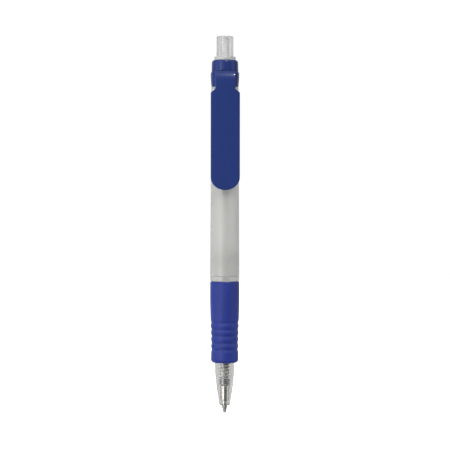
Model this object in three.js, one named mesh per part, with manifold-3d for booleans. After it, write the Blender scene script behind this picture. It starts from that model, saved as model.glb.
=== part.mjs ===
// Retractable gel pen: frosted barrel, blue clip and collar, clear push button,
// threaded clear front section with a soft grip, and a sprung refill on a rotating-cam mechanism.
//
// Units are millimetres, +Z is up, and the pen stands on its axis with the point down and the
// clip towards -Y. Every height below is measured up from the writing ball. The finished group is
// lowered by HOLD_HEIGHT, so that its origin is on the axis where a pocket's hem meets the clip.
// The pen is drawn in the writing position: point out, button latched.

import * as THREE from 'three';
import { mergeVertices } from 'three/addons/utils/BufferGeometryUtils.js';
import Module from 'manifold-3d';

const wasm = await Module();
wasm.setup();

// ---------------------------------------------------------------- driving dimensions

const LENGTH = 140.5;           // ball to button top
const HOLD_HEIGHT = 118.5;      // pocket hem, just under the clip's neck

const NOSE_END = 3;             // mouth of the clear nose
const GRIP_BOTTOM = 18.8;
const GRIP_TOP = 49;
const FLANGE_TOP = 50.9;        // clear flange between the grip and the barrel
const SHOULDER = 121.4;         // barrel's step under the clip band
const BAND_TOP = 127.2;
const COLLAR_TOP = 131.5;
const RIM_TOP = 132.8;          // guide sleeve's rim, above the collar
const GUIDE_BOTTOM = 110;

const BARREL_R = 5.43;          // widest, at the grip
const BARREL_TOP_R = 5.12;      // at the shoulder
const NECK_R = 4.35;            // barrel's neck, inside the band and collar
const NECK_BORE_R = 3.95;
const CORE_R = 3.9;             // front section's tube, inside the grip
const BUTTON_R = 3.13;
const REFILL_R = 1.5;
const CLIP_WIDTH = 10.8;
const CLIP_FRONT = 7.3;         // from the axis to the clip's flat front
const CLIP_THICKNESS = 1.2;

const TRAVEL = 5;               // button and refill, latched to retracted
const OVERTRAVEL = 1.2;         // pressed past the latch
const PITCH = 0.75;             // front section's screw thread

const GAP = 0.15;               // between pieces that rest on each other
const SLIP = 0.1;               // radial, between pieces that fit inside each other
const ROUND = 32;               // facets round a turned piece
const FINE_ROUND = 20;          // facets round a slender one

// ---------------------------------------------------------------- geometry helpers

// Turns a closed outline of [radius, height] points about Z. The outline runs up the outside
// and down the inside.
function turned(outline, facets = ROUND) {
  const points = outline.map(([radius, height]) => new THREE.Vector2(radius, height));
  points.push(points[0].clone());
  return new THREE.LatheGeometry(points, facets).rotateX(Math.PI / 2);
}

// A tube from two lists of [radius, height] points, each given from the bottom up.
function tube(outside, inside, facets = ROUND) {
  return turned([...outside, ...[...inside].reverse()], facets);
}

// A solid of revolution whose outside is given from the bottom up.
function solidTurned(outside, facets = FINE_ROUND) {
  const top = outside[outside.length - 1][1];
  const points = [[0, outside[0][1]], ...outside, [0, top]];
  const vectors = points.map(([radius, height]) => new THREE.Vector2(radius, height));
  return new THREE.LatheGeometry(vectors, facets).rotateX(Math.PI / 2);
}

// A block between two radii and two heights, centred on an angle. A slope, in mm per degree,
// tilts its lower or upper end as the angle grows.
function sector({ inner, outer, centre, width, low, high, lowSlope = 0, highSlope = 0 }) {
  const half = THREE.MathUtils.degToRad(width / 2);
  const outline = new THREE.Shape();
  outline.absarc(0, 0, outer, -half, half, false);
  outline.absarc(0, 0, inner, half, -half, true);
  const geometry = new THREE.ExtrudeGeometry(outline, {
    depth: high - low, bevelEnabled: false, curveSegments: 3,
  });
  const position = geometry.attributes.position;
  for (let i = 0; i < position.count; i += 1) {
    const angle = THREE.MathUtils.radToDeg(Math.atan2(position.getY(i), position.getX(i)));
    const isHigh = position.getZ(i) > (high - low) / 2;
    const tilt = (isHigh ? highSlope : lowSlope) * angle;
    position.setZ(i, low + position.getZ(i) + tilt);
  }
  return geometry.rotateZ(THREE.MathUtils.degToRad(centre));
}

// Winds a section, drawn as x = radius and y = height, into a right-hand coil. dropAt gives how
// far the section has come down after a number of turns.
function coiled(section, turns, stepsPerTurn, top, dropAt, curveSegments = 1) {
  const geometry = new THREE.ExtrudeGeometry(section, {
    depth: turns, steps: Math.round(turns * stepsPerTurn), bevelEnabled: false, curveSegments,
  });
  const position = geometry.attributes.position;
  for (let i = 0; i < position.count; i += 1) {
    const radius = position.getX(i);
    const turn = position.getZ(i);
    const angle = -2 * Math.PI * turn;
    const height = top + position.getY(i) - dropAt(turn);
    position.setXYZ(i, radius * Math.cos(angle), radius * Math.sin(angle), height);
  }
  return geometry;
}

// ---------------------------------------------------------------- boolean helpers

function toSolid(geometry) {
  const bare = geometry.clone();
  bare.deleteAttribute('normal');
  bare.deleteAttribute('uv');
  const merged = mergeVertices(bare);
  const corners = merged.index.array;
  const kept = [];
  for (let i = 0; i < corners.length; i += 3) {
    const [a, b, c] = [corners[i], corners[i + 1], corners[i + 2]];
    if (a !== b && b !== c && c !== a) kept.push(a, b, c);
  }
  return new wasm.Manifold(new wasm.Mesh({
    numProp: 3,
    vertProperties: new Float32Array(merged.attributes.position.array),
    triVerts: new Uint32Array(kept),
  }));
}

function toGeometry(solid) {
  const { vertProperties, triVerts } = solid.getMesh();
  const geometry = new THREE.BufferGeometry();
  geometry.setAttribute('position', new THREE.BufferAttribute(vertProperties, 3));
  geometry.setIndex(new THREE.BufferAttribute(triVerts, 1));
  return geometry;
}

function joined(first, ...others) {
  return others.reduce((whole, part) => whole.add(toSolid(part)), toSolid(first));
}

function cut(solid, ...tools) {
  return tools.reduce((whole, tool) => whole.subtract(toSolid(tool)), solid);
}

// ---------------------------------------------------------------- barrel and its screw thread

const THREAD_LOW = 55.4;
const THREAD_TOP = 60.2;
const MALE_ROOT_R = 3.6;
const THREAD_DEPTH = 0.34;
const RIDGE_ROOT_WIDTH = 0.34;
const RIDGE_CREST_WIDTH = 0.16;
const THREAD_STEPS = 16;        // facets in one turn of the thread
const THREAD_BORE_R = MALE_ROOT_R + THREAD_DEPTH + 0.16;
const BARREL_BOTTOM = FLANGE_TOP + GAP;

// A thread ridge standing on a cylinder of the given radius, outwards or inwards, and sunk
// into it a little so that the two join.
function threadRidge(radius, direction, low, top) {
  const sunk = radius - 0.12 * direction;
  const crest = radius + THREAD_DEPTH * direction;
  const section = new THREE.Shape();
  section.moveTo(sunk, -direction * RIDGE_ROOT_WIDTH / 2);
  section.lineTo(crest, -direction * RIDGE_CREST_WIDTH / 2);
  section.lineTo(crest, direction * RIDGE_CREST_WIDTH / 2);
  section.lineTo(sunk, direction * RIDGE_ROOT_WIDTH / 2);
  section.closePath();
  const turns = (top - low) / PITCH;
  return coiled(section, turns, THREAD_STEPS, top, (turn) => PITCH * turn);
}

function barrel() {
  const taperLow = 55;
  const threadBoreTop = 62;
  const neckBoreLow = GUIDE_BOTTOM - 1;
  const outside = [
    [BARREL_R - 0.15, BARREL_BOTTOM], [BARREL_R, BARREL_BOTTOM + 0.15], [BARREL_R, taperLow],
    [BARREL_TOP_R, SHOULDER], [NECK_R, SHOULDER], [NECK_R, COLLAR_TOP - 1],
  ];
  const inside = [
    [THREAD_BORE_R, BARREL_BOTTOM], [THREAD_BORE_R, threadBoreTop],
    [NECK_BORE_R, neckBoreLow], [NECK_BORE_R, COLLAR_TOP - 1],
  ];
  const femaleTop = THREAD_TOP + PITCH / 2;
  const ridge = threadRidge(THREAD_BORE_R, -1, THREAD_LOW + PITCH / 2, femaleTop);
  return toGeometry(joined(tube(outside, inside), ridge));
}

// ---------------------------------------------------------------- front section and grip

const SPRING_SEAT = 10.4;
const FRONT_BORE_R = 2.4;
const NOSE_BORE_R = 1.64;
const MOUTH_BORE_R = 1.22;
const NOSE_TOP_R = 3.64;

// The nose bulges a little between its mouth and the grip, as a quarter of an ellipse would.
function noseOutside() {
  const mouthR = 2;
  const widestHeight = 16;
  const points = [[1.75, NOSE_END], [mouthR, NOSE_END + 0.25]];
  const steps = 8;
  for (let i = 1; i <= steps; i += 1) {
    const along = i / steps;
    const height = THREE.MathUtils.lerp(NOSE_END + 0.25, widestHeight, along);
    const bulge = Math.sin(along * Math.PI / 2);
    const share = THREE.MathUtils.lerp(along, bulge, 0.45);
    points.push([THREE.MathUtils.lerp(mouthR, NOSE_TOP_R, share), height]);
  }
  return points;
}

function frontSection() {
  const outside = [
    ...noseOutside(),
    [NOSE_TOP_R, GRIP_BOTTOM + 0.1], [CORE_R, GRIP_BOTTOM + 0.3],
    [CORE_R, GRIP_TOP + GAP], [BARREL_R - 0.05, GRIP_TOP + GAP], [BARREL_R - 0.05, FLANGE_TOP],
    [CORE_R, FLANGE_TOP], [CORE_R, THREAD_LOW - 0.4],
    [MALE_ROOT_R, THREAD_LOW - 0.2], [MALE_ROOT_R, THREAD_TOP + 0.2],
  ];
  const topBoreR = 2.7;
  const lipTop = NOSE_END + 0.3;
  const inside = [
    [MOUTH_BORE_R, NOSE_END], [MOUTH_BORE_R, lipTop], [NOSE_BORE_R, lipTop],
    [NOSE_BORE_R, SPRING_SEAT], [FRONT_BORE_R, SPRING_SEAT],
    [FRONT_BORE_R, 40], [topBoreR, 44], [topBoreR, THREAD_TOP + 0.2],
  ];
  const ridge = threadRidge(MALE_ROOT_R, 1, THREAD_LOW, THREAD_TOP);
  return toGeometry(joined(tube(outside, inside), ridge));
}

const GROOVE_COUNT = 5;
const GROOVE_PITCH = 2.5;
const LOWEST_GROOVE = 23.7;
const GROOVE_DEPTH = 0.23;
const GRIP_R = 5.4;
const WAIST_R = 5.03;

// The grip is straight at the top, draws in to a waist where the fingers rest and carries
// GROOVE_COUNT smooth grooves there.
function gripRadius(height) {
  const waist = THREE.MathUtils.smoothstep(height, 24, 44);
  const body = THREE.MathUtils.lerp(WAIST_R, GRIP_R, waist);
  const flare = 0.06 * (1 - THREE.MathUtils.smoothstep(height, 20, 23));
  const fromFirst = (height - LOWEST_GROOVE) / GROOVE_PITCH;
  const inGrooves = fromFirst > -0.5 && fromFirst < GROOVE_COUNT - 0.5;
  const groove = inGrooves ? GROOVE_DEPTH * (1 + Math.cos(2 * Math.PI * fromFirst)) / 2 : 0;
  return body + flare - groove;
}

function gripSleeve() {
  const bore = CORE_R + SLIP;
  const grooveEnd = LOWEST_GROOVE + GROOVE_PITCH * (GROOVE_COUNT - 0.5);
  const outside = [[4.35, GRIP_BOTTOM], [4.85, GRIP_BOTTOM + 0.35], [WAIST_R + 0.03, GRIP_BOTTOM + 1]];
  const stepsPerGroove = 4;
  const steps = GROOVE_COUNT * stepsPerGroove;
  for (let i = 0; i <= steps; i += 1) {
    const height = LOWEST_GROOVE - GROOVE_PITCH / 2 + i * GROOVE_PITCH / stepsPerGroove;
    outside.push([gripRadius(height), height]);
  }
  for (const height of [grooveEnd + 2, grooveEnd + 4.5, 44]) {
    outside.push([gripRadius(height), height]);
  }
  outside.push([GRIP_R, GRIP_TOP - 0.2], [GRIP_R - 0.2, GRIP_TOP]);
  const lipR = NOSE_TOP_R + SLIP;
  return tube(outside, [
    [lipR, GRIP_BOTTOM], [lipR, GRIP_BOTTOM + 0.1], [bore, GRIP_BOTTOM + 0.3], [bore, GRIP_TOP],
  ]);
}

// ---------------------------------------------------------------- clip and collar

const BAND_BOTTOM = SHOULDER + GAP;
const BAND_BORE_R = NECK_R + SLIP;
const ARM_TOP = SHOULDER - 0.1;
const NECK_HALF = 3.7;
const NECK_END = 120.5;
const BLADE_TOP = 118.9;
const BLADE_END = 83;
const BLADE_END_HEIGHT = 4.7;

// The ring swells towards its top, and the clip's root stands on its front.
function clipBand() {
  const bulge = new THREE.Path();
  bulge.moveTo(5.04, BAND_BOTTOM);
  bulge.quadraticCurveTo(5.4, BAND_BOTTOM + 2.8, 5.33, BAND_TOP - 0.6);
  bulge.quadraticCurveTo(5.32, BAND_TOP, 5.1, BAND_TOP);
  const outside = bulge.getPoints(4).map((point) => [point.x, point.y]);
  const ring = tube(outside, [[BAND_BORE_R, BAND_BOTTOM], [BAND_BORE_R, BAND_TOP]]);
  // The root block, drawn from the side: x is the distance in front of the axis.
  const side = new THREE.Shape();
  side.moveTo(BAND_BORE_R + 0.35, BAND_BOTTOM);
  side.lineTo(CLIP_FRONT, BAND_BOTTOM);
  side.lineTo(CLIP_FRONT, BAND_BOTTOM + 0.8);
  side.quadraticCurveTo(CLIP_FRONT, BAND_TOP - 0.9, CLIP_FRONT - 1.7, BAND_TOP - 0.1);
  side.lineTo(BAND_BORE_R + 0.35, BAND_TOP - 0.1);
  side.closePath();
  const width = 2 * NECK_HALF - 0.6;
  const block = new THREE.ExtrudeGeometry(side, { depth: width, bevelEnabled: false, curveSegments: 6 });
  block.translate(0, 0, -width / 2);
  block.rotateX(Math.PI / 2);
  block.rotateZ(-Math.PI / 2);
  const bore = solidTurned([[BAND_BORE_R, BAND_BOTTOM - 1], [BAND_BORE_R, BAND_TOP + 1]], ROUND);
  return toGeometry(cut(joined(ring, block), bore));
}

// The arm's outline from the front, narrow at the neck and round at its end.
function armOutline() {
  const half = CLIP_WIDTH / 2;
  const outline = new THREE.Shape();
  outline.moveTo(NECK_HALF, ARM_TOP);
  outline.lineTo(-NECK_HALF, ARM_TOP);
  outline.lineTo(-NECK_HALF, NECK_END);
  outline.quadraticCurveTo(-half + 0.2, BLADE_TOP + 0.6, -half, BLADE_TOP);
  outline.lineTo(-half, BLADE_END + BLADE_END_HEIGHT);
  outline.absellipse(0, BLADE_END + BLADE_END_HEIGHT, half, BLADE_END_HEIGHT, Math.PI, 2 * Math.PI);
  outline.lineTo(half, BLADE_TOP);
  outline.quadraticCurveTo(half - 0.2, BLADE_TOP + 0.6, NECK_HALF, NECK_END);
  outline.closePath();
  return outline;
}

// Its back carries a low rib across it near the end, which is what presses on the barrel.
function clipArm() {
  const blade = new THREE.ExtrudeGeometry(armOutline(), {
    depth: CLIP_THICKNESS, bevelEnabled: false, curveSegments: 10,
  });
  blade.rotateX(Math.PI / 2);
  blade.translate(0, CLIP_THICKNESS - CLIP_FRONT, 0);
  const ribRadius = 0.65;
  const rib = new THREE.CylinderGeometry(ribRadius, ribRadius, 4, 12).rotateZ(Math.PI / 2);
  rib.translate(0, CLIP_THICKNESS - CLIP_FRONT, BLADE_END + BLADE_END_HEIGHT);
  return toGeometry(joined(blade, rib));
}

function topCollar() {
  const bottom = BAND_TOP + GAP;
  const corner = new THREE.Path();
  corner.moveTo(5, bottom);
  corner.lineTo(4.93, COLLAR_TOP - 1.2);
  corner.quadraticCurveTo(4.9, COLLAR_TOP, 4.2, COLLAR_TOP);
  const outside = corner.getPoints(5).map((point) => [point.x, point.y]);
  const lipUnder = COLLAR_TOP - 1 + GAP;
  return tube(outside, [
    [BAND_BORE_R, bottom], [BAND_BORE_R, lipUnder], [4.1, lipUnder], [4.1, COLLAR_TOP],
  ]);
}

// ---------------------------------------------------------------- button, cam and guide

const RIBS = 4;                 // guide ribs, and lobes on the rotor
const RIB_WIDTH = 18;           // degrees
const GUIDE_BORE_R = 3.45;
const HOLE_BOTTOM = 130.5;      // under the hole that the button slides in
const RIB_INNER_R = 2.75;
const RIB_END = 118.5;          // lowest corner of a rib's sloping end
const RIB_SLOPE = TRAVEL / 45;  // mm per degree: a lobe climbs TRAVEL while the rotor turns 45 degrees
const LOBE_CLEARANCE = 0.3;
const RIB_END_MIDDLE = RIB_END + RIB_SLOPE * RIB_WIDTH / 2;
const BUTTON_BOTTOM = 120.9;
const BUTTON_BORE_R = 1.8;      // round the rotor's stem
const BUTTON_CORE_R = 0.95;     // narrower, above the stem
const TOOTH_HEIGHT = 0.4;

const quarterTurns = Array.from({ length: RIBS }, (_, i) => i * 360 / RIBS);

function guideSleeve() {
  const rimR = 4;
  const outside = [
    [NECK_BORE_R - SLIP, GUIDE_BOTTOM], [NECK_BORE_R - SLIP, COLLAR_TOP - 0.7],
    [rimR, COLLAR_TOP - 0.7], [rimR, RIM_TOP - 0.2], [rimR - 0.2, RIM_TOP],
  ];
  const inside = [
    [GUIDE_BORE_R, GUIDE_BOTTOM], [GUIDE_BORE_R, HOLE_BOTTOM],
    [BUTTON_R + 0.08, HOLE_BOTTOM], [BUTTON_R + 0.08, RIM_TOP],
  ];
  const ribs = quarterTurns.map((centre) => sector({
    inner: RIB_INNER_R, outer: GUIDE_BORE_R + 0.2, centre, width: RIB_WIDTH,
    low: RIB_END_MIDDLE, high: HOLE_BOTTOM + 0.2, lowSlope: RIB_SLOPE,
  }));
  return toGeometry(joined(tube(outside, inside), ...ribs));
}

// The button is hollow from below. Slots let it pass the guide's ribs, keys between the slots
// stop it from leaving the guide, and saw teeth underneath push and turn the rotor.
function pushButton() {
  const stemRoom = BUTTON_BOTTOM + 5;
  const shell = turned([
    [BUTTON_BORE_R, BUTTON_BOTTOM], [BUTTON_R, BUTTON_BOTTOM],
    [BUTTON_R, LENGTH - 0.5], [BUTTON_R - 0.15, LENGTH - 0.15], [BUTTON_R - 0.5, LENGTH],
    [0, LENGTH], [0, LENGTH - 1.6], [BUTTON_CORE_R, LENGTH - 1.6],
    [BUTTON_CORE_R, stemRoom], [BUTTON_BORE_R, stemRoom],
  ]);
  const keyTop = HOLE_BOTTOM - TRAVEL - 0.3;
  const keys = quarterTurns.map((centre) => sector({
    inner: BUTTON_R - 0.3, outer: GUIDE_BORE_R - SLIP, centre: centre + 45, width: 24,
    low: BUTTON_BOTTOM, high: keyTop,
  }));
  const toothCount = 2 * RIBS;
  const toothWidth = 0.9 * 360 / toothCount;
  const teeth = Array.from({ length: toothCount }, (_, i) => sector({
    inner: BUTTON_BORE_R + 0.1, outer: BUTTON_R - 0.1, centre: i * 360 / toothCount, width: toothWidth,
    low: BUTTON_BOTTOM - TOOTH_HEIGHT / 2, high: BUTTON_BOTTOM + 0.3, lowSlope: TOOTH_HEIGHT / toothWidth,
  }));
  const slots = quarterTurns.map((centre) => sector({
    inner: RIB_INNER_R - SLIP, outer: GUIDE_BORE_R + 1, centre, width: RIB_WIDTH + 5,
    low: BUTTON_BOTTOM - 1, high: HOLE_BOTTOM + OVERTRAVEL + 0.3,
  }));
  return toGeometry(cut(joined(shell, ...keys, ...teeth), ...slots));
}

// The rotor's lobes rest against the sloping ends of the guide's ribs. Its skirt takes the
// refill's tail and its stem runs in the button.
const SKIRT_BOTTOM = 111;
const SKIRT_CEILING = 116;

function rotorCam() {
  const bodyR = 2.3;
  const stemR = 1.4;
  const body = turned([
    [REFILL_R + 0.25, SKIRT_BOTTOM], [bodyR, SKIRT_BOTTOM], [bodyR, BUTTON_BOTTOM - 0.7],
    [stemR, BUTTON_BOTTOM - 0.7], [stemR, BUTTON_BOTTOM + 3], [0, BUTTON_BOTTOM + 3],
    [0, SKIRT_CEILING], [REFILL_R + 0.25, SKIRT_CEILING],
  ]);
  const lobes = quarterTurns.map((centre) => sector({
    inner: bodyR - 0.3, outer: GUIDE_BORE_R - 0.15, centre, width: RIB_WIDTH,
    low: RIB_END - 4, high: RIB_END_MIDDLE - LOBE_CLEARANCE, highSlope: RIB_SLOPE,
  }));
  return toGeometry(joined(body, ...lobes));
}

// ---------------------------------------------------------------- refill and return spring

const TIP_SHOULDER = 4.8;       // where the metal point steps out to the refill's width
const POINT_TOP = 10.2;
const TUBE_BORE_R = 1.1;
const TUBE_BOTTOM = POINT_TOP + GAP;
const TUBE_TOP = SKIRT_CEILING - 0.5;
const SPRING_TOP = 28.7;
const BALL_R = 0.36;
const INK_TOP = 78;
const FOLLOWER_HEIGHT = 6;
const PLUG_LENGTH = 5;

function tipBall() {
  return new THREE.SphereGeometry(BALL_R, 12, 8).translate(0, 0, BALL_R);
}

// The metal point: a cone whose lip wraps the ball, the full-width body inside the nose, and a
// spigot pushed into the tube. The ink channel runs right through it.
function pointTip() {
  const seatR = BALL_R + 0.05;
  const lipR = 0.48;
  const lipHeight = 0.2;
  const outside = [
    [lipR, lipHeight], [1, 2.6], [1.08, 2.9], [1.08, TIP_SHOULDER - 0.15],
    [REFILL_R - 0.1, TIP_SHOULDER], [REFILL_R, TIP_SHOULDER + 0.2], [REFILL_R, POINT_TOP],
    [TUBE_BORE_R - 0.05, POINT_TOP], [TUBE_BORE_R - 0.05, POINT_TOP + 3],
  ];
  const channelR = 0.18;
  const inside = [
    [0.38, lipHeight], [seatR, BALL_R - 0.08], [seatR, BALL_R + 0.12], [channelR, BALL_R * 2 + 0.1],
    [channelR, 3.2], [0.5, 4.2], [0.5, POINT_TOP + 3],
  ];
  return tube(outside, inside, FINE_ROUND);
}

// The tube has a collar that the spring pushes on.
function refillTube() {
  const collarR = 2.15;
  const collarLow = SPRING_TOP + 0.2;
  const outside = [
    [REFILL_R, TUBE_BOTTOM], [REFILL_R, collarLow], [collarR, collarLow], [collarR, collarLow + 1],
    [REFILL_R, collarLow + 2.4], [REFILL_R, TUBE_TOP],
  ];
  return tube(outside, [[TUBE_BORE_R, TUBE_BOTTOM], [TUBE_BORE_R, TUBE_TOP]], FINE_ROUND);
}

function filling(low, high) {
  const radius = TUBE_BORE_R - 0.03;
  return solidTurned([[radius, low], [radius, high]], FINE_ROUND);
}

// A push-in plug with an air vent through it.
function refillPlug() {
  const bodyR = TUBE_BORE_R - 0.05;
  const low = TUBE_TOP - PLUG_LENGTH;
  const headLow = TUBE_TOP + 0.05;
  const outside = [[bodyR - 0.2, low], [bodyR, low + 0.5], [bodyR, headLow], [REFILL_R, headLow],
    [REFILL_R, SKIRT_CEILING - 0.15]];
  return tube(outside, [[0.3, low], [0.3, SKIRT_CEILING - 0.15]], FINE_ROUND);
}

const WIRE_R = 0.19;
const SPRING_R = 2.05;          // outside of the coil
const CLOSED_TURNS = 5;         // touching turns at each end
const CLOSED_PITCH = 2 * WIRE_R + 0.03;
const OPEN_PITCH = 1.12;
const COIL_STEPS = 10;          // facets in one turn of the spring

// Touching turns at both ends and open ones between, all on one section of wire.
function returnSpring() {
  const bottom = SPRING_SEAT + 0.1;
  const height = SPRING_TOP - bottom - 2 * WIRE_R;
  const openTurns = Math.round((height - 2 * CLOSED_TURNS * CLOSED_PITCH) / OPEN_PITCH);
  const turns = openTurns + 2 * CLOSED_TURNS;
  const openPitch = (height - 2 * CLOSED_TURNS * CLOSED_PITCH) / openTurns;
  const dropAt = (turn) => {
    const closedAbove = Math.min(turn, CLOSED_TURNS);
    const open = THREE.MathUtils.clamp(turn - CLOSED_TURNS, 0, openTurns);
    const closedBelow = Math.max(turn - CLOSED_TURNS - openTurns, 0);
    return (closedAbove + closedBelow) * CLOSED_PITCH + open * openPitch;
  };
  const wire = new THREE.Shape();
  const sides = 5;
  for (let i = 0; i < sides; i += 1) {
    const angle = i * 2 * Math.PI / sides;
    const point = [SPRING_R - WIRE_R + WIRE_R * Math.cos(angle), WIRE_R * Math.sin(angle)];
    if (i === 0) wire.moveTo(...point);
    else wire.lineTo(...point);
  }
  wire.closePath();
  return coiled(wire, turns, COIL_STEPS, SPRING_TOP - WIRE_R, dropAt);
}

// ---------------------------------------------------------------- materials and assembly

const FROSTED = { color: 0xd9d9d4, roughness: 0.55, metalness: 0, transparent: true, opacity: 0.6 };
const CLEAR = { color: 0xe8eaea, roughness: 0.08, metalness: 0, transparent: true, opacity: 0.35 };
const BLUE = { color: 0x1c2f86, roughness: 0.4, metalness: 0 };
const SOFT_BLUE = { color: 0x24389a, roughness: 0.6, metalness: 0, transparent: true, opacity: 0.9 };
const WHITE = { color: 0xe9e9e6, roughness: 0.45, metalness: 0 };
const NATURAL = { color: 0xe6e6e0, roughness: 0.35, metalness: 0, transparent: true, opacity: 0.7 };
const STEEL = { color: 0x8f8f90, roughness: 0.3, metalness: 1 };
const NICKEL = { color: 0xb4aea4, roughness: 0.22, metalness: 1 };
const CARBIDE = { color: 0x6f6f73, roughness: 0.1, metalness: 1 };
const INK = { color: 0x101c66, roughness: 0.15, metalness: 0 };
const GREASE = { color: 0xe3dfc8, roughness: 0.2, metalness: 0, transparent: true, opacity: 0.6 };

const pieces = [
  ['barrel', barrel(), FROSTED],
  ['front_section', frontSection(), CLEAR],
  ['grip_sleeve', gripSleeve(), SOFT_BLUE],
  ['clip_band', clipBand(), BLUE],
  ['clip_arm', clipArm(), BLUE],
  ['top_collar', topCollar(), BLUE],
  ['guide_sleeve', guideSleeve(), NATURAL],
  ['push_button', pushButton(), CLEAR],
  ['rotor_cam', rotorCam(), WHITE],
  ['refill_tube', refillTube(), NATURAL],
  ['refill_plug', refillPlug(), WHITE],
  ['grease_follower', filling(INK_TOP + 0.1, INK_TOP + FOLLOWER_HEIGHT), GREASE],
  ['gel_ink', filling(POINT_TOP + 3.2, INK_TOP), INK],
  ['point_tip', pointTip(), NICKEL],
  ['tip_ball', tipBall(), CARBIDE],
  ['return_spring', returnSpring(), STEEL],
];

const pen = new THREE.Group();
for (const [name, geometry, finish] of pieces) {
  const mesh = new THREE.Mesh(geometry, new THREE.MeshStandardMaterial(finish));
  mesh.name = name;
  pen.add(mesh);
}
pen.position.z = -HOLD_HEIGHT;

export default pen;
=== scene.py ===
import math

import bmesh
import bpy
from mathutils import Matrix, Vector

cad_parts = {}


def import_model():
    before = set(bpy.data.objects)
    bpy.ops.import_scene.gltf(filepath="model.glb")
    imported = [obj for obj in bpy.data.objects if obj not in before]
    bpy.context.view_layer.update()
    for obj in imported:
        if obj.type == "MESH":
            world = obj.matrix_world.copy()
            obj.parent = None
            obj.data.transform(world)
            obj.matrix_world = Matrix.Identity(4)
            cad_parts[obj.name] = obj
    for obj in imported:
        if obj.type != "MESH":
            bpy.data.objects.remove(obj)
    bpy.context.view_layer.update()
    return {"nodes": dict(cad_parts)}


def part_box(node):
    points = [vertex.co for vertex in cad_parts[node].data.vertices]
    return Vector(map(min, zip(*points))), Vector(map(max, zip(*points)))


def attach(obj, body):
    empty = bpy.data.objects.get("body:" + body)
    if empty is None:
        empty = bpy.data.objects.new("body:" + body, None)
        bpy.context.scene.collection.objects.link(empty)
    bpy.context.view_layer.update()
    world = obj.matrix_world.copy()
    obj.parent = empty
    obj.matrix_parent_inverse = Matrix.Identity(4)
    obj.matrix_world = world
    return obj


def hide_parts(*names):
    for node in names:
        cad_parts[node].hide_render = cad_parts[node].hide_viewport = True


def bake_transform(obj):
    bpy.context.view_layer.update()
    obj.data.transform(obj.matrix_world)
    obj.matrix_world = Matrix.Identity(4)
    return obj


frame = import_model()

# A retractable gel pen. Lengths are in millimetres and heights are measured up from the writing
# ball, as on the drawing; up() and MM turn them into the frame's metres.

MM = 0.001
TIP_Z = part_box("tip_ball")[0].z


def up(height):
    return TIP_Z + height * MM


def span(node):
    """The heights of a node's lowest and highest points."""
    low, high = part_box(node)
    return (low.z - TIP_Z) / MM, (high.z - TIP_Z) / MM


def radius(node):
    """The largest radius of a node that is round about the pen's axis."""
    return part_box(node)[1].x / MM


# ---------------------------------------------------------------- driving dimensions

BARREL_BOTTOM, BARREL_TOP = span("barrel")
NOSE_END, THREAD_END = span("front_section")
GRIP_BOTTOM, GRIP_TOP = span("grip_sleeve")
BAND_BOTTOM, BAND_TOP = span("clip_band")
BLADE_END, ARM_TOP = span("clip_arm")
COLLAR_BOTTOM, COLLAR_TOP = span("top_collar")
GUIDE_BOTTOM, RIM_TOP = span("guide_sleeve")
BUTTON_LOW, LENGTH = span("push_button")
TUBE_BOTTOM, TUBE_TOP = span("refill_tube")
SPRING_BOTTOM, SPRING_TOP = span("return_spring")

GAP = 0.15                          # between parts that meet end to end
SHOULDER = BAND_BOTTOM - GAP        # barrel's step under the clip's ring
BARREL_R = radius("barrel")
BARREL_STRAIGHT = 55                # the barrel tapers above this height
BARREL_TOP_R = 5.12
NECK_R = 4.35
NECK_BORE_R = 3.95
THREAD_BORE_R = 4.1
CORE_R = 3.9                        # front section's tube, inside the grip
FLANGE_R = BARREL_R - 0.05
FLANGE_BOTTOM = GRIP_TOP + GAP
FLANGE_TOP = BARREL_BOTTOM - 0.06
SPIGOT_BORE_R = 2.7
MALE_ROOT_R = 3.6
THREAD_LOW = 55.4
THREAD_TOP = THREAD_END - 0.2
THREAD_DEPTH = 0.34
PITCH = 0.75
NOSE_TOP_R = 3.64
MOUTH_R = 2
MOUTH_BORE_R = 1.22
NOSE_BORE_R = 1.64
SPRING_SEAT = SPRING_BOTTOM - 0.1
FRONT_BORE_R = 2.4
REFILL_R = 1.5
TUBE_BORE_R = 1.1
CLIP_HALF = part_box("clip_arm")[1].x / MM
CLIP_FRONT = -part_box("clip_arm")[0].y / MM
CLIP_THICKNESS = 1.2
NECK_HALF = 3.7
BUTTON_R = 3.13
GUIDE_BORE_R = 3.45
GUIDE_RIM_R = 4
WIRE_R = 0.19
SPRING_R = radius("return_spring")

AROUND = 128                        # segments round a turned piece
SLENDER = 64                        # and round a slender one


# ---------------------------------------------------------------- mesh helpers

def lerp(a, b, share):
    return a + (b - a) * share


def smoothstep(value, low, high):
    share = min(max((value - low) / (high - low), 0), 1)
    return share * share * (3 - 2 * share)


def rounded(corners, steps=6):
    """A closed outline from (radius, height) points and (radius, height, rounding) corners.
    Rounding is how far from the corner, along both of its sides, the curve begins."""
    outline = []
    for i, (r, z, *more) in enumerate(corners):
        corner = Vector((r, z))
        if not more:
            outline.append((r, z))
            continue
        rounding = more[0]
        before = Vector(corners[i - 1][:2]) - corner
        after = Vector(corners[(i + 1) % len(corners)][:2]) - corner
        start = corner + before.normalized() * min(rounding, before.length * 0.85)
        end = corner + after.normalized() * min(rounding, after.length * 0.85)
        for step in range(steps + 1):
            t = step / steps
            point = start * (1 - t) ** 2 + corner * 2 * t * (1 - t) + end * t ** 2
            outline.append((point.x, point.y))
    return outline


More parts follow.
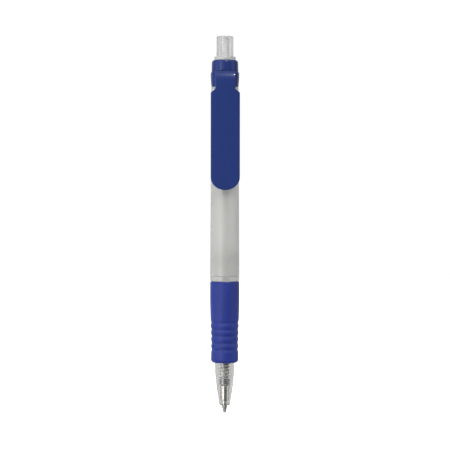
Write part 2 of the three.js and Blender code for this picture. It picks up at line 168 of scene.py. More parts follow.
def to_object(name, mesh_data, sharp=35):
    """Makes an object from a bmesh, smooth except over edges sharper than the given degrees."""
    bmesh.ops.remove_doubles(mesh_data, verts=mesh_data.verts, dist=1e-8)
    bmesh.ops.recalc_face_normals(mesh_data, faces=mesh_data.faces)
    mesh = bpy.data.meshes.new(name)
    mesh_data.to_mesh(mesh)
    mesh_data.free()
    mesh.shade_smooth()
    mesh.set_sharp_from_angle(angle=math.radians(sharp))
    piece = bpy.data.objects.new(name, mesh)
    bpy.context.scene.collection.objects.link(piece)
    return piece


def bridge(mesh_data, rings, closed):
    """Joins rings of vertices with faces. A ring of one vertex is a point on the axis."""
    pairs = list(zip(rings, rings[1:]))
    if closed:
        pairs.append((rings[-1], rings[0]))
    for lower, upper in pairs:
        count = max(len(lower), len(upper))
        if count == 1:
            continue
        for i in range(count):
            j = (i + 1) % count
            corners = [lower[i % len(lower)], lower[j % len(lower)],
                       upper[j % len(upper)], upper[i % len(upper)]]
            distinct = list(dict.fromkeys(corners))
            if len(distinct) > 2:
                mesh_data.faces.new(distinct)


def turned(name, outline, shift=None, segments=AROUND, sharp=35):
    """Turns a closed outline of (radius, height) about the axis. shift(r, z, angle) gives what to
    add to the radius there."""
    mesh_data = bmesh.new()
    rings = []
    for r, z in outline:
        if r < 1e-6:
            rings.append([mesh_data.verts.new((0, 0, up(z)))])
            continue
        ring = []
        for i in range(segments):
            angle = 2 * math.pi * i / segments
            reach = (r + (shift(r, z, angle) if shift else 0)) * MM
            ring.append(mesh_data.verts.new((reach * math.cos(angle), reach * math.sin(angle), up(z))))
        rings.append(ring)
    bridge(mesh_data, rings, closed=True)
    return to_object(name, mesh_data, sharp)


def combined(piece, others, operation, sharp=35):
    """Joins the others to a piece (UNION) or cuts them from it (DIFFERENCE)."""
    for other in others:
        modifier = piece.modifiers.new("solid", "BOOLEAN")
        modifier.operation = operation
        modifier.solver = "EXACT"
        modifier.object = other
        evaluated = piece.evaluated_get(bpy.context.evaluated_depsgraph_get())
        mesh = bpy.data.meshes.new_from_object(evaluated)
        piece.modifiers.clear()
        piece.data = mesh
    for other in others:
        bpy.data.objects.remove(other)
    piece.data.shade_smooth()
    piece.data.set_sharp_from_angle(angle=math.radians(sharp))
    return piece


def sector(inner, outer, centre, width, low, high, low_slope=0, high_slope=0):
    """A block between two radii and two heights, centred on an angle in degrees. A slope, in mm
    per degree, tilts its lower or upper end."""
    mesh_data = bmesh.new()
    steps = 8
    rings = []
    for i in range(steps + 1):
        turn = lerp(-width / 2, width / 2, i / steps)
        angle = math.radians(centre + turn)
        bottom = up(low + low_slope * turn)
        top = up(high + high_slope * turn)
        corners = [(inner, bottom), (outer, bottom), (outer, top), (inner, top)]
        rings.append([mesh_data.verts.new((r * MM * math.cos(angle), r * MM * math.sin(angle), z))
                      for r, z in corners])
    bridge(mesh_data, rings, closed=False)
    mesh_data.faces.new(rings[0])
    mesh_data.faces.new(rings[-1])
    return to_object("block", mesh_data)


# ---------------------------------------------------------------- material helpers

def new_material(name):
    material = bpy.data.materials.new(name)
    material.use_nodes = True
    tree = material.node_tree
    shader = tree.nodes["Principled BSDF"]
    place = tree.nodes.new("ShaderNodeTexCoord").outputs["Object"]
    return material, tree, shader, place


def noise(tree, place, size, detail=2, stretch_z=1):
    """Noise whose blotches are about size mm across, drawn out along the pen by stretch_z."""
    mapping = tree.nodes.new("ShaderNodeMapping")
    mapping.inputs["Scale"].default_value = (1, 1, 1 / stretch_z)
    tree.links.new(place, mapping.inputs["Vector"])
    texture = tree.nodes.new("ShaderNodeTexNoise")
    texture.inputs["Scale"].default_value = 1 / (size * MM)
    texture.inputs["Detail"].default_value = detail
    tree.links.new(mapping.outputs["Vector"], texture.inputs["Vector"])
    return texture.outputs["Fac"]


def spread(tree, value, low, high):
    """Maps noise, which seldom leaves 0.3 to 0.7, to the range low to high."""
    mapped = tree.nodes.new("ShaderNodeMapRange")
    mapped.inputs["From Min"].default_value = 0.3
    mapped.inputs["From Max"].default_value = 0.7
    mapped.inputs["To Min"].default_value = low
    mapped.inputs["To Max"].default_value = high
    tree.links.new(value, mapped.inputs["Value"])
    return mapped.outputs["Result"]


def tinted(tree, value, first, second):
    mix = tree.nodes.new("ShaderNodeMix")
    mix.data_type = "RGBA"
    mix.inputs["A"].default_value = (*first, 1)
    mix.inputs["B"].default_value = (*second, 1)
    tree.links.new(value, mix.inputs["Factor"])
    return mix.outputs["Result"]


def bumped(tree, height, depth, normal=None):
    """A bump whose relief is depth mm."""
    bump = tree.nodes.new("ShaderNodeBump")
    bump.inputs["Strength"].default_value = 1
    bump.inputs["Distance"].default_value = depth * MM
    tree.links.new(height, bump.inputs["Height"])
    if normal is not None:
        tree.links.new(normal, bump.inputs["Normal"])
    return bump.outputs["Normal"]


def moulded(name, colour, roughness, grain=0.12, relief=0.0012, flow=0.004, mottle=0.06,
            transmission=0, ior=1.49, specular=0.5, subsurface=0):
    """Moulded plastic: a fine grain, a slow waviness left by the mould, and colour that varies
    a little from place to place."""
    material, tree, shader, place = new_material(name)
    shader.inputs["IOR"].default_value = ior
    shader.inputs["Specular IOR Level"].default_value = specular
    shader.inputs["Transmission Weight"].default_value = transmission
    shader.inputs["Subsurface Weight"].default_value = subsurface
    shader.inputs["Subsurface Radius"].default_value = (0.6, 0.6, 0.8)
    shader.inputs["Subsurface Scale"].default_value = MM
    blotches = noise(tree, place, 3, detail=3, stretch_z=3)
    darker = tuple(c * (1 - mottle) for c in colour)
    colour_out = tinted(tree, spread(tree, blotches, 0, 1), colour, darker)
    tree.links.new(colour_out, shader.inputs["Base Color"])
    grain_out = noise(tree, place, grain, detail=3)
    rough_out = spread(tree, grain_out, roughness * 0.9, min(roughness * 1.12, 1))
    tree.links.new(rough_out, shader.inputs["Roughness"])
    waviness = bumped(tree, noise(tree, place, 4, detail=1, stretch_z=4), flow)
    tree.links.new(bumped(tree, grain_out, relief, waviness), shader.inputs["Normal"])
    return material


def machined(name, colour, roughness, ring_pitch, relief, tarnish=0.15):
    """Turned or drawn metal: fine rings round the axis, ring_pitch mm apart, and slight tarnish."""
    material, tree, shader, place = new_material(name)
    shader.inputs["Metallic"].default_value = 1
    blotches = noise(tree, place, 0.9, detail=4)
    darker = tuple(c * (1 - tarnish) for c in colour)
    colour_out = tinted(tree, spread(tree, blotches, 0, 1), colour, darker)
    tree.links.new(colour_out, shader.inputs["Base Color"])
    rings = tree.nodes.new("ShaderNodeTexWave")
    rings.wave_type = "BANDS"
    rings.bands_direction = "Z"
    waves_per_unit = 20 / (2 * math.pi)     # of the texture at a scale of 1
    rings.inputs["Scale"].default_value = 1 / (waves_per_unit * ring_pitch * MM)
    rings.inputs["Distortion"].default_value = 0.6
    tree.links.new(place, rings.inputs["Vector"])
    tree.links.new(spread(tree, blotches, roughness * 0.8, roughness * 1.3), shader.inputs["Roughness"])
    tree.links.new(bumped(tree, rings.outputs["Fac"], relief), shader.inputs["Normal"])
    return material


# ---------------------------------------------------------------- materials

FROSTED = moulded("frosted_plastic", (0.93, 0.93, 0.91), 0.2, grain=0.1, relief=0.0012, mottle=0.03,
                  transmission=0.65, ior=1.45, specular=0.35)
CLEAR = moulded("clear_plastic", (0.97, 0.97, 0.96), 0.05, relief=0.0002, flow=0.006, mottle=0.01,
                transmission=0.97, ior=1.53)
HAZY = moulded("button_plastic", (0.95, 0.95, 0.95), 0.12, relief=0.0008, flow=0.01, mottle=0.02,
               transmission=0.85, ior=1.53)
SOFT_BLUE = moulded("soft_blue", (0.066, 0.116, 0.57), 0.4, grain=0.09, relief=0.003, mottle=0.1,
                    transmission=0.5, ior=1.4, specular=0.2, subsurface=1)
BLUE = moulded("blue_plastic", (0.026, 0.051, 0.225), 0.17, relief=0.0006, flow=0.004, mottle=0.05,
               specular=0.22)
NATURAL = moulded("natural_plastic", (0.9, 0.9, 0.89), 0.35, mottle=0.03, transmission=0.5)
REFILL = moulded("refill_plastic", (0.93, 0.93, 0.91), 0.3, mottle=0.03, transmission=0.2,
                 subsurface=0.4)
WHITE = moulded("white_plastic", (0.82, 0.82, 0.8), 0.42, mottle=0.03, subsurface=0.2)
INK = moulded("gel_ink", (0.006, 0.01, 0.09), 0.15, relief=0.0002, mottle=0.2)
GREASE = moulded("follower_grease", (0.8, 0.76, 0.6), 0.18, mottle=0.1, transmission=0.5)
NICKEL = machined("tip_metal", (0.62, 0.6, 0.56), 0.1, ring_pitch=0.06, relief=0.0003)
STEEL = machined("spring_steel", (0.4, 0.4, 0.4), 0.16, ring_pitch=0.02, relief=0.0002)
CARBIDE = machined("ball_carbide", (0.42, 0.42, 0.43), 0.12, ring_pitch=0.02, relief=0.0001)


def finished(piece, material, slot, body, *nodes):
    """Gives a piece its material, hides the CAD nodes it takes the place of, and hangs it on its body
    when one is given.
    """
    piece.data.materials.clear()
    piece.data.materials.append(material)
    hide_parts(*nodes)
    if body:
        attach(piece, body)
    return piece


# ---------------------------------------------------------------- barrel

RUN_OUT = 0.4                       # how far a thread's ridge takes to sink in at its ends


def threaded(r, start, end):
    """Points close enough together, along a straight side, for a thread to be raised on it."""
    spacing = 0.05
    count = round(abs(end - start) / spacing)
    return [(r, lerp(start, end, i / count)) for i in range(count + 1)]


def thread_ridge(z, angle, offset):
    """How high a screw thread's ridge stands at a height and an angle, from 0 to 1. The offset, in
    turns, keeps one thread between the ridges of the other."""
    turns = (z - THREAD_TOP) / PITCH - angle / (2 * math.pi) + offset
    distance = abs(turns - round(turns)) * PITCH
    half_root = 0.17
    half_crest = 0.08
    flank = 1 - smoothstep(distance, half_crest, half_root)
    starts = smoothstep(z, THREAD_LOW - 0.3, THREAD_LOW - 0.3 + RUN_OUT)
    ends = smoothstep(z, THREAD_TOP - 0.1, THREAD_TOP - 0.1 + RUN_OUT)
    return flank * starts * (1 - ends)


def barrel():
    taper_bottom = 62
    taper_top = 109
    threads = threaded(THREAD_BORE_R, THREAD_TOP + PITCH, THREAD_LOW - RUN_OUT)
    outline = rounded([
        (THREAD_BORE_R, BARREL_BOTTOM, 0.1), (BARREL_R, BARREL_BOTTOM, 0.18),
        (BARREL_R, BARREL_STRAIGHT, 0.8), (BARREL_TOP_R, SHOULDER, 0.1), (NECK_R, SHOULDER, 0.05),
        (NECK_R, BARREL_TOP, 0.12), (NECK_BORE_R, BARREL_TOP, 0.1), (NECK_BORE_R, taper_top),
        (THREAD_BORE_R, taper_bottom), *threads,
    ])

    def shift(r, z, angle):
        if r != THREAD_BORE_R:
            return 0
        return -THREAD_DEPTH * thread_ridge(z, angle, 0.5)

    piece = turned("barrel_shell", outline, shift)
    return finished(piece, FROSTED, "frosted_plastic", "barrel", "barrel")


# ---------------------------------------------------------------- front section and grip

def nose_outside():
    """The nose's outline, which bulges a little between its mouth and the grip."""
    low = NOSE_END + 0.25
    widest = 16
    steps = 24
    bulge = 0.45
    points = [(MOUTH_BORE_R, NOSE_END, 0.1), (MOUTH_R - 0.08, NOSE_END, 0.2)]
    for i in range(1, steps + 1):
        along = i / steps
        share = lerp(along, math.sin(along * math.pi / 2), bulge)
        points.append((lerp(MOUTH_R, NOSE_TOP_R, share), lerp(low, widest, along)))
    return points


def front_section():
    threads = threaded(MALE_ROOT_R, THREAD_LOW - 0.3, THREAD_END - 0.1)
    bore_widens = 40
    bore_is_wide = 44
    outline = rounded([
        *nose_outside(), (NOSE_TOP_R, GRIP_BOTTOM + 0.1, 0.05), (CORE_R, GRIP_BOTTOM + 0.3, 0.1),
        (CORE_R, FLANGE_BOTTOM, 0.1), (FLANGE_R, FLANGE_BOTTOM, 0.15), (FLANGE_R, FLANGE_TOP, 0.15),
        (CORE_R, FLANGE_TOP, 0.1), (CORE_R, THREAD_LOW - RUN_OUT, 0.1), *threads,
        (MALE_ROOT_R - 0.1, THREAD_END), (SPIGOT_BORE_R, THREAD_END, 0.15),
        (SPIGOT_BORE_R, bore_is_wide, 1), (FRONT_BORE_R, bore_widens, 1),
        (FRONT_BORE_R, SPRING_SEAT, 0.15), (NOSE_BORE_R, SPRING_SEAT, 0.1),
        (NOSE_BORE_R, NOSE_END + 0.4, 0.15), (MOUTH_BORE_R, NOSE_END + 0.3, 0.1),
    ])

    def shift(r, z, angle):
        if r != MALE_ROOT_R:
            return 0
        return THREAD_DEPTH * thread_ridge(z, angle, 0)

    piece = turned("front_shell", outline, shift)
    finished(piece, CLEAR, "clear_plastic", "front", "front_section")
    piece.data.materials.append(FROSTED)
    for face in piece.data.polygons:
        on_flange = math.hypot(face.center.x, face.center.y) > (CORE_R + 0.3) * MM
        if on_flange and face.center.z > up(GRIP_TOP):
            face.material_index = 1
    return piece


WAIST_R = 5.07                      # the grip where the fingers hold it
GRIP_R = 5.47
GRIP_SLIT = 0.1                     # between the grip and the front section's tube
GROOVES = 5
GROOVE_PITCH = 2.5
LOWEST_GROOVE = 23.7
GROOVE_DEPTH = 0.23


def grip_radius(z):
    """Straight at the top, drawn in to a waist for the fingers, with grooves round it there."""
    body = lerp(WAIST_R, GRIP_R, smoothstep(z, 24, 44))
    flare = 0.06 * (1 - smoothstep(z, 20, 23))
    from_first = (z - LOWEST_GROOVE) / GROOVE_PITCH
    in_grooves = -0.5 < from_first < GROOVES - 0.5
    wave = (1 + math.cos(2 * math.pi * from_first)) / 2
    return body + flare - (GROOVE_DEPTH * wave ** 1.4 if in_grooves else 0)


def grip():
    low = GRIP_BOTTOM + 1
    high = GRIP_TOP - 0.35
    count = 150
    heights = [lerp(low, high, i / count) for i in range(count + 1)]
    side = [(grip_radius(z), z) for z in heights]
    end_r = NOSE_TOP_R + GRIP_SLIT
    bore_r = CORE_R + GRIP_SLIT
    flat_r = 4.35
    bevel_r = 4.86
    piece = turned("grip", rounded([
        (end_r, GRIP_BOTTOM, 0.08), (flat_r, GRIP_BOTTOM, 0.15), (bevel_r, GRIP_BOTTOM + 0.35, 0.3),
        *side, (GRIP_R - 0.02, GRIP_TOP, 0.2), (bore_r, GRIP_TOP, 0.1),
        (bore_r, GRIP_BOTTOM + 0.3, 0.08), (end_r, GRIP_BOTTOM + 0.12, 0.05),
    ]))
    return finished(piece, SOFT_BLUE, "soft_blue", "front", "grip_sleeve")


# ---------------------------------------------------------------- clip and collar

EDGE = 0.32                         # rounding of the clip's edges
BLADE_END_HEIGHT = 4.7              # of the blade's round end
BLADE_TOP = 118.9                   # where the blade begins to narrow
NECK_END = 120.5
BUMP_HEIGHT = 0.62                  # of the bump on the clip's back that presses on the barrel
BUMP_HALF = 1.6                     # half its width, where it is highest
BUMP_LENGTH = 0.55
BAND_R = radius("clip_band")        # where the ring swells most
BAND_FOOT_R = 5.05
BAND_SWELL = 3                      # height of its widest place above its foot
COLLAR_R = 5
CROWN = 0.1                         # how far the clip's front bulges in the middle
RING_BORE_R = NECK_R + 0.1          # the ring and the collar go over the barrel's neck
ARCH = 1.9                          # how far the root's front goes back at its top


def clip_half_width(z):
    if z < BLADE_END + BLADE_END_HEIGHT:
        along = (z - BLADE_END) / BLADE_END_HEIGHT
        return CLIP_HALF * math.sqrt(max(0, 1 - (1 - along) ** 2))
    if z < BLADE_TOP:
        return CLIP_HALF
    share = (z - BLADE_TOP) / (NECK_END - BLADE_TOP)
    soft = lerp(smoothstep(share, 0, 1), min(share, 1), 0.5)
    return lerp(CLIP_HALF, NECK_HALF, soft)


def clip_front(z):
    """The front's distance from the axis: flat down the blade, arched back over the root."""
    arch_low = BAND_BOTTOM + 0.6
    share = min(max((z - arch_low) / (BAND_TOP - 0.1 - arch_low), 0), 1)
    return CLIP_FRONT - ARCH * (1 - math.sqrt(1 - share ** 2 * 0.96))


def clip_back(z):
    """The back's distance from the axis; the root reaches back into the ring's wall."""
    blade = CLIP_FRONT - CLIP_THICKNESS
    return lerp(blade, NECK_R + 0.5, smoothstep(z, ARM_TOP - 0.6, BAND_BOTTOM + 0.3))


def clip_section(z, half, front, back):
    """One level of the clip as a ring of points, with rounded edges and a crowned front."""
    across = 28
    round_steps = 6
    edge = min(EDGE, half * 0.95, (front - back) / 2)
    inside = half - edge
    points = [(lerp(-inside, inside, i / across), front) for i in range(across + 1)]
    for i in range(1, round_steps + 1):
        angle = math.pi / 2 * (1 - i / round_steps)
        points.append((inside + edge * math.cos(angle), front - edge * (1 - math.sin(angle))))
    for i in range(round_steps):
        angle = math.pi / 2 * i / round_steps
        points.append((inside + edge * math.cos(angle), back + edge * (1 - math.sin(angle))))
    points += [(lerp(inside, -inside, i / across), back) for i in range(across + 1)]
    for i in range(1, round_steps + 1):
        angle = math.pi / 2 * (1 - i / round_steps)
        points.append((-inside - edge * math.cos(angle), back + edge * (1 - math.sin(angle))))
    for i in range(round_steps):
        angle = math.pi / 2 * i / round_steps
        points.append((-inside - edge * math.cos(angle), front - edge * (1 - math.sin(angle))))
    return [(x, y, z) for x, y in points]


def clip_heights():
    """Levels of the clip, closest together in its round end and in its neck and root."""
    end_steps = 26
    blade_steps = 60
    root_steps = 70
    straight = BLADE_END + BLADE_END_HEIGHT
    heights = []
    for i in range(1, end_steps + 1):
        angle = math.pi / 2 * i / end_steps
        heights.append(BLADE_END + BLADE_END_HEIGHT * (1 - math.cos(angle)))
    heights += [lerp(straight, BLADE_TOP, i / blade_steps) for i in range(1, blade_steps + 1)]
    heights += [lerp(BLADE_TOP, BAND_TOP - 0.1, i / root_steps) for i in range(1, root_steps + 1)]
    return heights


def clip():
    mesh_data = bmesh.new()
    rings = []
    bump_z = BLADE_END + BLADE_END_HEIGHT
    for z in clip_heights():
        half = clip_half_width(z)
        thin = EDGE * (1 - min((z - BLADE_END) / EDGE, 1)) ** 2
        front = clip_front(z) - thin
        back = clip_back(z) + thin
        ring = []
        for x, y, height in clip_section(z, half, front, back):
            middle = (front + back) / 2
            share = abs(x) / CLIP_HALF
            if y > middle:
                y -= CROWN * share ** 2
            else:
                across = 1 - smoothstep(abs(x), BUMP_HALF, BUMP_HALF + 0.7)
                along = math.exp(-((z - bump_z) / BUMP_LENGTH) ** 2)
                y -= BUMP_HEIGHT * across * along
            ring.append(mesh_data.verts.new((x * MM, -y * MM, up(height))))
        rings.append(ring)
    bridge(mesh_data, rings, closed=False)
    mesh_data.faces.new(rings[0])
    mesh_data.faces.new(rings[-1])
    blade = to_object("clip", mesh_data, sharp=50)
    ring = turned("ring", rounded([
        (RING_BORE_R, BAND_BOTTOM, 0.08), (BAND_FOOT_R, BAND_BOTTOM, 0.1),
        (BAND_R, BAND_BOTTOM + BAND_SWELL, 1.8), (BAND_R - 0.02, BAND_TOP, 0.6),
        (RING_BORE_R, BAND_TOP, 0.1),
    ], steps=10))
    bore = turned("bore", [(0, BAND_BOTTOM - 2), (RING_BORE_R, BAND_BOTTOM - 2),
                           (RING_BORE_R, BAND_TOP + 2), (0, BAND_TOP + 2)])
    combined(blade, [ring], "UNION", sharp=40)
    combined(blade, [bore], "DIFFERENCE", sharp=40)
    finished(blade, BLUE, "blue_plastic", None, "clip_band", "clip_arm")
    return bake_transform(blade)


def collar():
    """It comes nearly down to the ring, and has a lip over the end of the barrel's neck."""
    low = COLLAR_BOTTOM - 0.08
    hole_r = GUIDE_RIM_R + 0.1
    lip_under = BARREL_TOP + GAP
    piece = turned("collar", rounded([
        (RING_BORE_R, low, 0.08), (COLLAR_R, low, 0.1), (COLLAR_R - 0.08, COLLAR_TOP, 1.2),
        (hole_r, COLLAR_TOP, 0.08), (hole_r, lip_under, 0.05), (RING_BORE_R, lip_under, 0.05),
    ]))
    return finished(piece, BLUE, "blue_plastic", "barrel", "top_collar")


# ---------------------------------------------------------------- button, cam and guide

RIBS = 4
RIB_WIDTH = 18                      # degrees
HOLE_BOTTOM = 130.5
RIB_INNER_R = 2.75
STROKE = 5                          # from point out to point in
RIB_SLOPE = STROKE / 45             # mm per degree; the rotor turns 45 degrees in a stroke
RIB_BOTTOM = 118.5
RIB_END_MIDDLE = RIB_BOTTOM + RIB_SLOPE * RIB_WIDTH / 2
BUTTON_BOTTOM = BUTTON_LOW + 0.2
BUTTON_BORE_R = 1.8                 # round the rotor's stem
BUTTON_CORE_R = 1.05                # narrower, above the stem


def guide_sleeve():
    outer_r = NECK_BORE_R - 0.1
    hole_r = BUTTON_R + 0.08
    rim_bottom = COLLAR_TOP - 0.7
    piece = turned("guide", rounded([
        (GUIDE_BORE_R, GUIDE_BOTTOM, 0.1), (outer_r, GUIDE_BOTTOM, 0.1), (outer_r, rim_bottom, 0.03),
        (GUIDE_RIM_R, rim_bottom, 0.03), (GUIDE_RIM_R, RIM_TOP, 0.22), (hole_r, RIM_TOP, 0.12),
        (hole_r, HOLE_BOTTOM, 0.03), (GUIDE_BORE_R, HOLE_BOTTOM, 0.03),
    ]))
    ribs = [sector(RIB_INNER_R, GUIDE_BORE_R + 0.2, i * 360 / RIBS, RIB_WIDTH,
                   RIB_END_MIDDLE, HOLE_BOTTOM + 0.2, low_slope=RIB_SLOPE) for i in range(RIBS)]
    combined(piece, ribs, "UNION")
    return finished(piece, NATURAL, "natural_plastic", "barrel", "guide_sleeve")


def push_button():
    ceiling = LENGTH - 0.8
    stem_room = BUTTON_BOTTOM + STROKE
    piece = turned("button", rounded([
        (BUTTON_BORE_R, BUTTON_BOTTOM, 0.05), (BUTTON_R, BUTTON_BOTTOM, 0.05), (BUTTON_R, LENGTH, 0.45),
        (0, LENGTH), (0, ceiling), (BUTTON_CORE_R, ceiling, 0.3),
        (BUTTON_CORE_R, stem_room, 0.1), (BUTTON_BORE_R, stem_room, 0.1),
    ]))
    key_width = 24
    key_top = HOLE_BOTTOM - STROKE - 0.3
    keys = [sector(BUTTON_R - 0.3, GUIDE_BORE_R - 0.1, (i + 0.5) * 360 / RIBS, key_width,
                   BUTTON_BOTTOM, key_top) for i in range(RIBS)]
    tooth_count = 2 * RIBS
    tooth_width = 0.9 * 360 / tooth_count
    tooth_height = 0.4
    teeth = [sector(BUTTON_BORE_R + 0.1, BUTTON_R - 0.1, i * 360 / tooth_count, tooth_width,
                    BUTTON_BOTTOM - tooth_height / 2, BUTTON_BOTTOM + 0.3,
                    low_slope=tooth_height / tooth_width) for i in range(tooth_count)]
    slots = [sector(RIB_INNER_R - 0.1, GUIDE_BORE_R + 1, i * 360 / RIBS, RIB_WIDTH + 5,
                    BUTTON_BOTTOM - 1, HOLE_BOTTOM + 1.5) for i in range(RIBS)]
    combined(piece, keys + teeth, "UNION")
    combined(piece, slots, "DIFFERENCE")
    return finished(piece, HAZY, "button_plastic", "button", "push_button")


# ---------------------------------------------------------------- refill and spring

def refill_tube():
    """A plain tube with a collar that the spring pushes on."""
    collar_r = 2.15
    collar_low = SPRING_TOP + 0.2
    piece = turned("refill", rounded([
        (TUBE_BORE_R, TUBE_BOTTOM, 0.05), (REFILL_R, TUBE_BOTTOM, 0.08), (REFILL_R, collar_low, 0.05),
        (collar_r, collar_low, 0.1), (collar_r, collar_low + 1, 0.3),
        (REFILL_R, collar_low + 2.4, 0.4), (REFILL_R, TUBE_TOP, 0.08), (TUBE_BORE_R, TUBE_TOP, 0.05),
    ]), segments=SLENDER)
    return finished(piece, REFILL, "refill_plastic", "refill", "refill_tube")


def point():
    """A cone round the ball, a shank in the nose's mouth, a body, and a spigot in the tube."""
    low, high = span("point_tip")
    ball_r = radius("tip_ball")
    seat_r = ball_r + 0.05
    lip_r = 0.48
    cone_top = 2.6
    shank_r = 1.08
    shoulder = 4.8
    body_top = TUBE_BOTTOM - GAP
    spigot_r = TUBE_BORE_R - 0.05
    ink_bore_r = 0.5
    channel_r = 0.18
    piece = turned("metal_point", rounded([
        (lip_r - 0.1, low, 0.01), (lip_r, low, 0.02), (shank_r - 0.08, cone_top, 0.1),
        (shank_r, cone_top + 0.3, 0.1), (shank_r, shoulder - 0.15, 0.05),
        (REFILL_R - 0.06, shoulder, 0.08), (REFILL_R, shoulder + 0.2, 0.1),
        (REFILL_R, body_top, 0.08), (spigot_r, body_top, 0.05), (spigot_r, high, 0.1),
        (ink_bore_r, high, 0.05), (ink_bore_r, 4.2, 0.05), (channel_r, 3.2),
        (channel_r, ball_r * 2 + 0.1), (seat_r, ball_r + 0.12), (seat_r, ball_r - 0.08),
    ], steps=4), segments=SLENDER, sharp=28)
    return finished(piece, NICKEL, "tip_metal", "refill", "point_tip")


def ball():
    mesh_data = bmesh.new()
    ball_r = radius("tip_ball")
    bmesh.ops.create_icosphere(mesh_data, subdivisions=4, radius=ball_r * MM)
    bmesh.ops.translate(mesh_data, verts=mesh_data.verts, vec=(0, 0, up(ball_r)))
    piece = to_object("writing_ball", mesh_data)
    return finished(piece, CARBIDE, "ball_carbide", "ball", "tip_ball")


CLOSED_TURNS = 5                    # at each end of the spring
CLOSED_PITCH = 2 * WIRE_R + 0.03
OPEN_PITCH = 1.12                   # about; a whole number of turns has to fit


def spring():
    """Nearly touching turns at both ends and open ones between."""
    top = SPRING_TOP - WIRE_R
    open_height = top - SPRING_BOTTOM - WIRE_R - 2 * CLOSED_TURNS * CLOSED_PITCH
    open_turns = round(open_height / OPEN_PITCH)
    open_pitch = open_height / open_turns
    turns = open_turns + 2 * CLOSED_TURNS
    steps_per_turn = 32
    sides = 10
    coil_r = SPRING_R - WIRE_R

    def drop(turn):
        closed_turns = min(turn, CLOSED_TURNS) + max(turn - CLOSED_TURNS - open_turns, 0)
        opened = min(max(turn - CLOSED_TURNS, 0), open_turns)
        return closed_turns * CLOSED_PITCH + opened * open_pitch

    mesh_data = bmesh.new()
    rings = []
    for i in range(turns * steps_per_turn + 1):
        turn = i / steps_per_turn
        angle = -2 * math.pi * turn
        ring = []
        for side in range(sides):
            lean = 2 * math.pi * side / sides
            reach = (coil_r + WIRE_R * math.cos(lean)) * MM
            z = up(top - drop(turn) + WIRE_R * math.sin(lean))
            ring.append(mesh_data.verts.new((reach * math.cos(angle), reach * math.sin(angle), z)))
        rings.append(ring)
    bridge(mesh_data, rings, closed=False)
    mesh_data.faces.new(rings[0])
    mesh_data.faces.new(rings[-1])
    piece = to_object("spring", mesh_data, sharp=60)
    finished(piece, STEEL, "spring_steel", None, "return_spring")
    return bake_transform(piece)


# ---------------------------------------------------------------- studio

PAPER = 1.02                        # brightness behind the pen, in the picture
BACKDROP = 0.63                     # the same, as the pen sees it
WALLS = 1.2                         # brightness of the tent's sides and roof
FLAG = 0.1                          # share left of it in the dark flags beside the backdrop
OPENING = 0.04                      # share left of it in the opening for the camera
OPENING_AZIMUTH = 22                # degrees, which way the opening faces
TABLE = 0.35                        # share left of it low in front, where the dark table is


def floor():
    """Pale, wide and out of the reflections, which come from the tent round the pen."""
    floor_r = 2
    below = 20
    mesh_data = bmesh.new()
    bmesh.ops.create_circle(mesh_data, cap_ends=True, segments=96, radius=floor_r)
    bmesh.ops.translate(mesh_data, verts=mesh_data.verts, vec=(0, 0, up(-below)))
    piece = to_object("floor", mesh_data)
    material, tree, shader, place = new_material("pale_floor")
    shader.inputs["Roughness"].default_value = 0.9
    shader.inputs["Emission Strength"].default_value = 0.85
    shader.inputs["Emission Color"].default_value = (1, 1, 1, 1)
    shade = tinted(tree, noise(tree, place, 60), (0.86, 0.86, 0.86), (0.84, 0.84, 0.84))
    tree.links.new(shade, shader.inputs["Base Color"])
    piece.data.materials.append(material)
    piece.visible_diffuse = False
    piece.visible_glossy = False
    piece.visible_transmission = False
    piece.visible_shadow = False


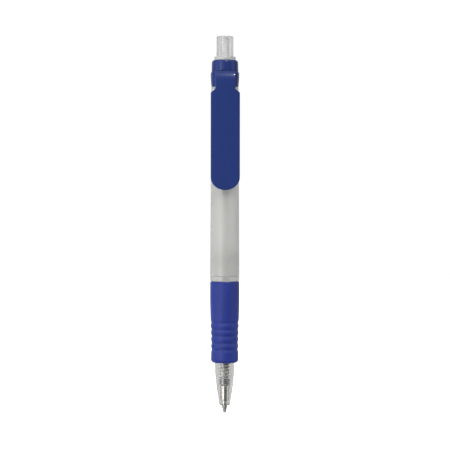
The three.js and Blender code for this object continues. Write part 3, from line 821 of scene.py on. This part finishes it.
def world():
    """White in the picture. Round the pen, a light tent with upright walls, a dark opening for
    the camera and dark flags that outline the clear plastic. Azimuth 180 is behind the pen."""
    surroundings = bpy.data.worlds.new("studio")
    bpy.context.scene.world = surroundings
    surroundings.use_nodes = True
    tree = surroundings.node_tree
    background = tree.nodes["Background"]
    background.inputs["Color"].default_value = (1, 1, 1, 1)

    def vector_math(operation, vector, other=None):
        node = tree.nodes.new("ShaderNodeVectorMath")
        node.operation = operation
        tree.links.new(vector, node.inputs[0])
        if other:
            node.inputs[1].default_value = other
        return node.outputs["Value" if operation == "DOT_PRODUCT" else "Vector"]

    def math_node(operation, first, second):
        node = tree.nodes.new("ShaderNodeMath")
        node.operation = operation
        tree.links.new(first, node.inputs[0])
        tree.links.new(second, node.inputs[1])
        return node.outputs["Value"]

    place = tree.nodes.new("ShaderNodeTexCoord").outputs["Generated"]
    level = vector_math("NORMALIZE", vector_math("MULTIPLY", place, (1, 1, 0)))

    def graded(azimuth, near, far, value_near, value_far):
        """Goes from one value to another between two angles from an azimuth, all in degrees."""
        towards = (math.sin(math.radians(azimuth)), -math.cos(math.radians(azimuth)), 0)
        shade = tree.nodes.new("ShaderNodeMapRange")
        shade.interpolation_type = "SMOOTHSTEP"
        shade.inputs["From Min"].default_value = math.cos(math.radians(far))
        shade.inputs["From Max"].default_value = math.cos(math.radians(near))
        shade.inputs["To Min"].default_value = value_far
        shade.inputs["To Max"].default_value = value_near
        tree.links.new(vector_math("DOT_PRODUCT", level, towards), shade.inputs["Value"])
        return shade.outputs["Result"]

    backdrop = graded(180, 58, 68, BACKDROP, WALLS * FLAG)
    opening = graded(OPENING_AZIMUTH, 28, 42, OPENING, 1)
    upright = tree.nodes.new("ShaderNodeSeparateXYZ")
    tree.links.new(place, upright.inputs["Vector"])

    def risen(low, high, value_low):
        """Goes from a value to 1 between two slopes, from -1 (straight down) to 1 (straight up)."""
        shade = tree.nodes.new("ShaderNodeMapRange")
        shade.inputs["From Min"].default_value = low
        shade.inputs["From Max"].default_value = high
        shade.inputs["To Min"].default_value = value_low
        tree.links.new(upright.outputs["Z"], shade.inputs["Value"])
        return shade.outputs["Result"]

    front = math_node("MAXIMUM", opening, risen(0.4, 0.7, 0))
    sides = math_node("MULTIPLY", graded(180, 82, 95, 0, WALLS * (1 - FLAG)), risen(-0.45, -0.25, TABLE))
    walls = math_node("ADD", backdrop, math_node("MULTIPLY", sides, front))
    seen = tree.nodes.new("ShaderNodeLightPath").outputs["Is Camera Ray"]
    mix = tree.nodes.new("ShaderNodeMix")
    tree.links.new(seen, mix.inputs["Factor"])
    tree.links.new(walls, mix.inputs["A"])
    mix.inputs["B"].default_value = PAPER
    tree.links.new(mix.outputs["Result"], background.inputs["Strength"])


def area_light(name, azimuth, elevation, distance, width, height, power, glints_only=False):
    """A soft box that faces the middle of the pen. Azimuth 0 is in front, and it grows towards +X."""
    lamp = bpy.data.lights.new(name, "AREA")
    lamp.shape = "RECTANGLE"
    lamp.size = width
    lamp.size_y = height
    lamp.energy = power
    holder = bpy.data.objects.new(name, lamp)
    bpy.context.scene.collection.objects.link(holder)
    around = math.radians(azimuth)
    rise = math.radians(elevation)
    level = math.cos(rise)
    direction = Vector((math.sin(around) * level, -math.cos(around) * level, math.sin(rise)))
    holder.location = Vector((0, 0, up(LENGTH / 2))) + direction * distance
    holder.rotation_euler = direction.to_track_quat("Z", "Y").to_euler()
    holder.visible_diffuse = not glints_only


CAMERA_DISTANCE = 0.6               # metres, as are the next two
CAMERA_X = 0.00007                  # how far right of the pen's axis the camera looks
PICTURE_WIDTH = 0.168               # across the pen, from edge to edge of the picture
CAMERA_AZIMUTH = -1.2               # degrees; 0 is square to the clip
PICTURE_MIDDLE = 70.1               # mm, height of the picture's centre
LEAN = 0.065                        # degrees that the pen leans to the right


def camera():
    sensor = 36
    lens = bpy.data.cameras.new("camera")
    lens.sensor_width = sensor
    lens.lens = sensor * CAMERA_DISTANCE / PICTURE_WIDTH
    lens.clip_start = 0.01
    holder = bpy.data.objects.new("camera", lens)
    bpy.context.scene.collection.objects.link(holder)
    around = math.radians(CAMERA_AZIMUTH)
    holder.location = (CAMERA_X + CAMERA_DISTANCE * math.sin(around),
                       -CAMERA_DISTANCE * math.cos(around), up(PICTURE_MIDDLE))
    holder.rotation_euler = (math.pi / 2, math.radians(-LEAN), around)
    bpy.context.scene.camera = holder


# ---------------------------------------------------------------- the pen

camera()
floor()
world()
area_light("strip", azimuth=-38, elevation=0, distance=0.9, width=0.16, height=1.6, power=2.6)
area_light("glint", azimuth=16, elevation=46, distance=0.9, width=0.05, height=0.05, power=8,
           glints_only=True)
bpy.context.scene.view_settings.view_transform = "Standard"

barrel()
front_section()
grip()
clip()
collar()
guide_sleeve()
push_button()
refill_tube()
point()
ball()
spring()
for node, material in (("rotor_cam", WHITE), ("refill_plug", WHITE), ("grease_follower", GREASE),
                       ("gel_ink", INK)):
    frame["nodes"][node].material_slots[0].material = material
